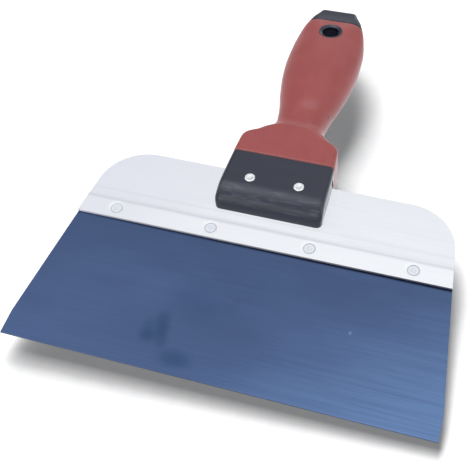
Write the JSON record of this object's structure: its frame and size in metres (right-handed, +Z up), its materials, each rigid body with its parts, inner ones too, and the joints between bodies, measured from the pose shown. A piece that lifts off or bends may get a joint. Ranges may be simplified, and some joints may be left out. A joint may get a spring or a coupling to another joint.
{
  "type": "drywall taping knife",
  "caption": "Wide drywall taping knife: blued steel blade riveted under an aluminium backing plate, in a black handle with a soft red grip and a hang hole.",
  "frame": {"origin": "middle of the bottom of the knife's box, as it lies with its blade level", "axes": "+X along the working edge, +Y from the working edge to the hanging end, +Z up, out of the face on which the lip lies over the blade"},
  "size_m": [0.2032, 0.2472, 0.026],
  "materials": {
    "blued_steel": "blued spring steel, satin",
    "aluminium": "satin",
    "black_plastic": "fine moulded texture, satin",
    "red_rubber": "matte",
    "bright_steel": "bright"
  },
  "bodies": {
    "root": {"blade": "blued_steel", "backing_plate": "aluminium", "blade_rivet_1": "aluminium", "blade_rivet_2": "aluminium", "blade_rivet_3": "aluminium", "blade_rivet_4": "aluminium", "handle_core": "black_plastic", "soft_grip": "red_rubber", "handle_rivet_left": "bright_steel", "handle_rivet_right": "bright_steel"}
  },
  "joints": []
}
